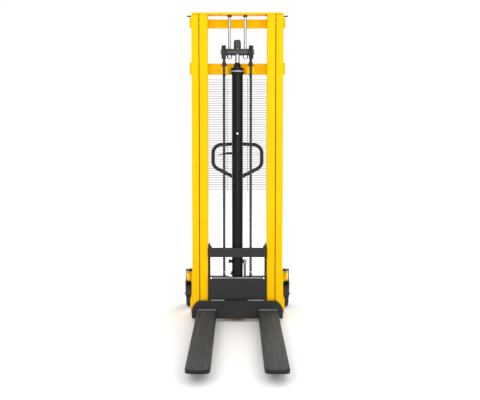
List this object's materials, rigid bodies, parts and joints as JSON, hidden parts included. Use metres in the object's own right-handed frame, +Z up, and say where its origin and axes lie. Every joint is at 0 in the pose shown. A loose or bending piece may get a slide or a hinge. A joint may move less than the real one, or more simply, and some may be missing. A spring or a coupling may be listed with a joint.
{
  "type": "walkie stacker",
  "caption": "Hand-pumped pallet stacker with a two-stage mast, a central lift cylinder, flat forks, a pump tiller with a hand ring, and braked casters.",
  "frame": {"origin": "on the floor, at the centre of the footprint's bounding box", "axes": "+Z is up, the forks point along -Y, +X is to the right seen from the fork side"},
  "size_m": [0.77, 1.685, 2.09],
  "materials": {
    "yellow_paint": "semi-gloss yellow enamel",
    "charcoal_paint": "semi-gloss charcoal enamel",
    "black_paint": "satin black powder coat",
    "bare_steel": "machined, lightly oiled",
    "chain_steel": "dark oiled steel",
    "chrome_rod": "hard chrome, polished",
    "zinc_plate": "zinc plated",
    "wire_coat": "black coated wire",
    "hose_rubber": "grey hose cover",
    "nylon": "cast nylon",
    "caster_tread": "dark polyurethane tread on a nylon core"
  },
  "bodies": {
    "chassis": {"base_frame": "yellow_paint", "leg_left": "charcoal_paint", "leg_right": "charcoal_paint", "mast_channel_left": "yellow_paint", "mast_channel_right": "yellow_paint", "crossmember_top": "yellow_paint", "crossmember_upper": "yellow_paint", "crossmember_lower": "yellow_paint", "mesh_guard": "wire_coat", "sling_pegs": "black_paint", "top_roller_pins": "bare_steel", "cylinder_barrel": "black_paint", "cylinder_head": "bare_steel", "chain_anchors": "yellow_paint", "chain_clevises": "black_paint", "hydraulic_hose": "hose_rubber", "hose_fittings": "zinc_plate", "pump_body": "black_paint", "oil_tank": "black_paint", "tiller_pin": "bare_steel", "foot_guard_left": "black_paint", "foot_guard_right": "black_paint", "load_roller_axles": "bare_steel", "chain_back_runs": "chain_steel"},
    "inner_mast": {"inner_section_left": "yellow_paint", "inner_section_right": "yellow_paint", "mast_top_plate": "yellow_paint", "inner_lower_tie": "yellow_paint", "tie_rods": "chrome_rod", "yoke": "black_paint", "yoke_cap": "black_paint", "piston_rod": "chrome_rod", "inner_roller_pins": "bare_steel", "chain_front_runs": "chain_steel", "chain_wraps": "chain_steel"},
    "carriage": {"carriage_plate_left": "charcoal_paint", "carriage_plate_right": "charcoal_paint", "carriage_top_bar": "charcoal_paint", "apron": "charcoal_paint", "fork_frame": "charcoal_paint", "fork_left": "charcoal_paint", "fork_right": "charcoal_paint", "carriage_roller_pins": "bare_steel", "chain_bolts": "zinc_plate"},
    "carriage_rollers_upper": {"carriage_rollers_upper": "bare_steel"},
    "carriage_rollers_lower": {"carriage_rollers_lower": "bare_steel"},
    "inner_mast_rollers": {"inner_mast_rollers": "bare_steel"},
    "outer_mast_rollers": {"outer_mast_rollers": "bare_steel"},
    "chain_pulleys": {"chain_pulleys": "chain_steel"},
    "load_roller_left": {"load_roller_left": "nylon"},
    "load_roller_right": {"load_roller_right": "nylon"},
    "caster_fork_left": {"caster_fork_left": "black_paint"},
    "caster_fork_right": {"caster_fork_right": "black_paint"},
    "caster_wheel_left": {"caster_wheel_left": "caster_tread"},
    "caster_wheel_right": {"caster_wheel_right": "caster_tread"},
    "brake_pedal_left": {"brake_pedal_left": "black_paint"},
    "brake_pedal_right": {"brake_pedal_right": "black_paint"},
    "tiller": {"tiller": "black_paint"},
    "release_lever": {"release_lever": "black_paint"},
    "pump_ram": {"pump_ram": "chrome_rod"}
  },
  "joints": [
    {"name": "mast_lift", "type": "slide", "parent": "chassis", "child": "inner_mast", "axis": [0, 0, 1], "range_m": [0, 1.455], "deforming": ["chain_back_runs"]},
    {"name": "carriage_lift", "type": "slide", "parent": "inner_mast", "child": "carriage", "axis": [0, 0, 1], "range_m": [0, 1.455], "deforming": ["chain_front_runs"]},
    {"name": "carriage_rollers_upper_roll", "type": "hinge", "parent": "carriage", "child": "carriage_rollers_upper", "pos_m": [0, 0.3875, 0.505], "axis": [1, 0, 0], "continuous": true},
    {"name": "carriage_rollers_lower_roll", "type": "hinge", "parent": "carriage", "child": "carriage_rollers_lower", "pos_m": [0, 0.3875, 0.125], "axis": [1, 0, 0], "continuous": true},
    {"name": "inner_mast_rollers_roll", "type": "hinge", "parent": "inner_mast", "child": "inner_mast_rollers", "pos_m": [0, 0.3875, 0.125], "axis": [1, 0, 0], "continuous": true},
    {"name": "outer_mast_rollers_roll", "type": "hinge", "parent": "chassis", "child": "outer_mast_rollers", "pos_m": [0, 0.3875, 2.025], "axis": [1, 0, 0], "continuous": true},
    {"name": "chain_pulleys_turn", "type": "hinge", "parent": "inner_mast", "child": "chain_pulleys", "pos_m": [0, 0.3875, 1.832], "axis": [1, 0, 0], "continuous": true},
    {"name": "load_roller_left_spin", "type": "hinge", "parent": "chassis", "child": "load_roller_left", "pos_m": [-0.209, -0.6225, 0.037], "axis": [1, 0, 0], "continuous": true},
    {"name": "caster_left_swivel", "type": "hinge", "parent": "chassis", "child": "caster_fork_left", "pos_m": [-0.352, 0.7175, 0.2275], "axis": [0, 0, 1], "continuous": true},
    {"name": "caster_wheel_left_spin", "type": "hinge", "parent": "caster_fork_left", "child": "caster_wheel_left", "pos_m": [-0.352, 0.7525, 0.09], "axis": [1, 0, 0], "continuous": true},
    {"name": "brake_pedal_left_press", "type": "hinge", "parent": "caster_fork_left", "child": "brake_pedal_left", "pos_m": [-0.352, 0.7925, 0.184], "axis": [-1, 0, 0], "range_deg": [0, 15]},
    {"name": "load_roller_right_spin", "type": "hinge", "parent": "chassis", "child": "load_roller_right", "pos_m": [0.209, -0.6225, 0.037], "axis": [1, 0, 0], "continuous": true},
    {"name": "caster_right_swivel", "type": "hinge", "parent": "chassis", "child": "caster_fork_right", "pos_m": [0.352, 0.7175, 0.2275], "axis": [0, 0, 1], "continuous": true},
    {"name": "caster_wheel_right_spin", "type": "hinge", "parent": "caster_fork_right", "child": "caster_wheel_right", "pos_m": [0.352, 0.7525, 0.09], "axis": [1, 0, 0], "continuous": true},
    {"name": "brake_pedal_right_press", "type": "hinge", "parent": "caster_fork_right", "child": "brake_pedal_right", "pos_m": [0.352, 0.7925, 0.184], "axis": [-1, 0, 0], "range_deg": [0, 15]},
    {"name": "tiller_pump", "type": "hinge", "parent": "chassis", "child": "tiller", "pos_m": [0, 0.7075, 0.272], "axis": [-1, 0, 0], "range_deg": [0, 60], "stiffness_Nm_per_rad": 60, "springref_deg": -25.78},
    {"name": "pump_ram_stroke", "type": "slide", "parent": "chassis", "child": "pump_ram", "axis": [0, 0, 1], "range_m": [-0.0401, 0]},
    {"name": "release_lever_pull", "type": "hinge", "parent": "tiller", "child": "release_lever", "pos_m": [0, 0.8123, 1.1256], "axis": [0, 0.9925, -0.1219], "range_deg": [0, 14], "stiffness_Nm_per_rad": 2.5, "springref_deg": -11.46}
  ],
  "couplings": [
    {"joint": "carriage_lift", "follows": "mast_lift", "ratio": 1},
    {"joint": "carriage_rollers_upper_roll", "follows": "mast_lift", "rad_per_m": 28.011},
    {"joint": "carriage_rollers_lower_roll", "follows": "mast_lift", "rad_per_m": -28.011},
    {"joint": "outer_mast_rollers_roll", "follows": "mast_lift", "rad_per_m": 28.011},
    {"joint": "inner_mast_rollers_roll", "follows": "mast_lift", "rad_per_m": -26.525},
    {"joint": "chain_pulleys_turn", "follows": "mast_lift", "rad_per_m": -25},
    {"joint": "pump_ram_stroke", "follows": "tiller_pump", "m_per_rad": -0.0382}
  ]
}
